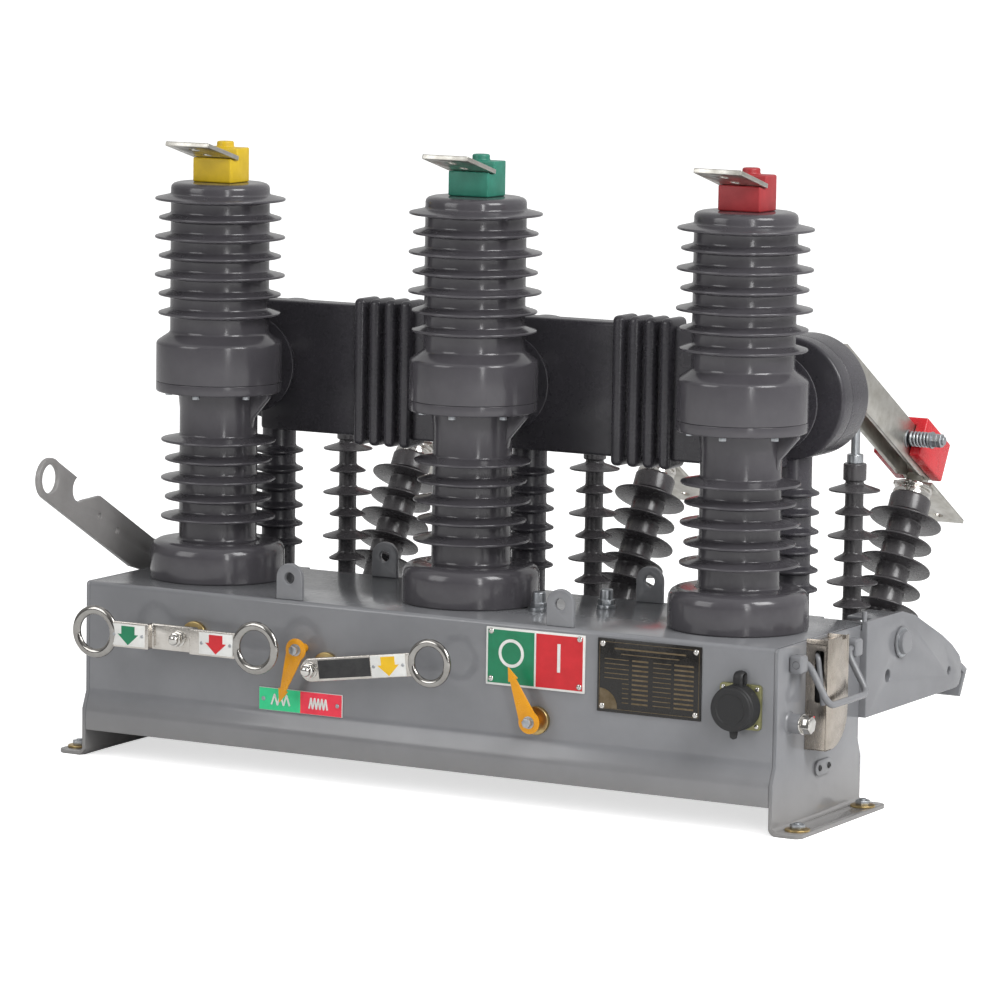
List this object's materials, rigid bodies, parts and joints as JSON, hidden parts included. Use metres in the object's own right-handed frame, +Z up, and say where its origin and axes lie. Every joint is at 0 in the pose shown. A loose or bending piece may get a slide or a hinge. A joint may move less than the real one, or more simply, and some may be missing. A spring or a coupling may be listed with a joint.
{
  "type": "outdoor vacuum circuit breaker",
  "caption": "Pole-mounted medium-voltage vacuum breaker: shedded poles on a grey mechanism case, current transformers and a tilting isolator behind, hand levers in front.",
  "frame": {"origin": "floor level, in the middle of the four foot bolt holes", "axes": "+X to the right along the row of poles as seen from the control side, +Y back to the isolator, +Z up"},
  "size_m": [0.9693, 0.7544, 0.7176],
  "materials": {
    "case_paint": "gloss grey paint",
    "plated_steel": "zinc plate",
    "pole_epoxy": "cast epoxy",
    "cap_yellow": "moulded",
    "cap_green": "moulded",
    "cap_red": "moulded",
    "tinned_copper": "tinned",
    "transformer_resin": "cast resin",
    "silicone_grey": "silicone",
    "cover_red": "moulded",
    "arm_paint": "grey paint",
    "stainless": "brushed",
    "pointer_amber": "gloss paint",
    "passivated_steel": "yellow passivated",
    "strip_label": "printed plate",
    "position_label": "printed plate",
    "rating_label": "etched plate",
    "socket_olive": "olive plate",
    "cap_rubber": "moulded"
  },
  "bodies": {
    "breaker": {"mechanism_case": "case_paint", "left_end_plate": "case_paint", "right_end_plate": "case_paint", "lifting_lugs": "case_paint", "top_plugs": "plated_steel", "lower_pole_left": "pole_epoxy", "lower_pole_middle": "pole_epoxy", "lower_pole_right": "pole_epoxy", "upper_pole_left": "pole_epoxy", "upper_pole_middle": "pole_epoxy", "upper_pole_right": "pole_epoxy", "phase_cap_left": "cap_yellow", "phase_cap_middle": "cap_green", "phase_cap_right": "cap_red", "line_terminal_left": "tinned_copper", "line_terminal_middle": "tinned_copper", "line_terminal_right": "tinned_copper", "current_transformer": "transformer_resin", "transformer_leg_left": "transformer_resin", "transformer_leg_middle": "transformer_resin", "transformer_leg_right": "transformer_resin", "leg_shelves": "case_paint", "left_bracket": "case_paint", "right_bracket": "case_paint", "post_beam": "case_paint", "post_insulator_left": "silicone_grey", "post_insulator_middle": "silicone_grey", "post_insulator_right": "silicone_grey", "hinge_terminals": "tinned_copper", "fixed_contacts": "tinned_copper", "control_bushes": "passivated_steel", "charge_strip": "strip_label", "position_plate": "position_label", "rating_plate": "rating_label", "control_socket": "socket_olive", "socket_cap": "cap_rubber", "end_cover": "stainless", "bail_blocks": "case_paint"},
    "isolator_shaft": {"isolator_shaft": "plated_steel", "operating_arm": "arm_paint"},
    "pull_insulators": {"pull_insulators": "silicone_grey"},
    "blades": {"isolator_blades": "tinned_copper", "blade_covers": "cover_red"},
    "trip_lever": {"trip_lever": "stainless"},
    "charging_handle": {"charging_handle": "stainless"},
    "charge_pointer": {"charge_pointer": "pointer_amber"},
    "position_pointer": {"position_pointer": "pointer_amber"},
    "release_bail": {"release_bail": "case_paint"}
  },
  "joints": [
    {"name": "isolator_shaft_turn", "type": "hinge", "parent": "breaker", "child": "isolator_shaft", "pos_m": [0, 0.2, 0.1745], "axis": [1, 0, 0], "range_deg": [0, 44]},
    {"name": "pull_insulator_swing", "type": "hinge", "parent": "isolator_shaft", "child": "pull_insulators", "pos_m": [0, 0.314, 0.113], "axis": [-1, 0, 0], "range_deg": [0, 59]},
    {"name": "blade_swing", "type": "hinge", "parent": "breaker", "child": "blades", "pos_m": [0, 0.495, 0.33738], "axis": [-1, 0, 0], "range_deg": [0, 35.6]},
    {"name": "trip_lever_turn", "type": "hinge", "parent": "breaker", "child": "trip_lever", "pos_m": [-0.296, -0.135, 0.155], "axis": [0, 1, 0], "range_deg": [-12, 12]},
    {"name": "charging_handle_turn", "type": "hinge", "parent": "breaker", "child": "charging_handle", "pos_m": [-0.12, -0.135, 0.135], "axis": [0, 1, 0], "range_deg": [0, 45]},
    {"name": "charge_pointer_turn", "type": "hinge", "parent": "breaker", "child": "charge_pointer", "pos_m": [-0.15, -0.12, 0.153], "axis": [0, -1, 0], "range_deg": [0, 37]},
    {"name": "position_pointer_turn", "type": "hinge", "parent": "breaker", "child": "position_pointer", "pos_m": [0.152, -0.12, 0.099], "axis": [0, 1, 0], "range_deg": [0, 49]},
    {"name": "bail_swing", "type": "hinge", "parent": "breaker", "child": "release_bail", "pos_m": [0.456, 0.015, 0.185], "axis": [0, -1, 0], "range_deg": [0, 75]}
  ],
  "couplings": [
    {"joint": "pull_insulator_swing", "follows": "isolator_shaft_turn", "ratio": 1.3345},
    {"joint": "blade_swing", "follows": "isolator_shaft_turn", "ratio": 0.8065}
  ]
}
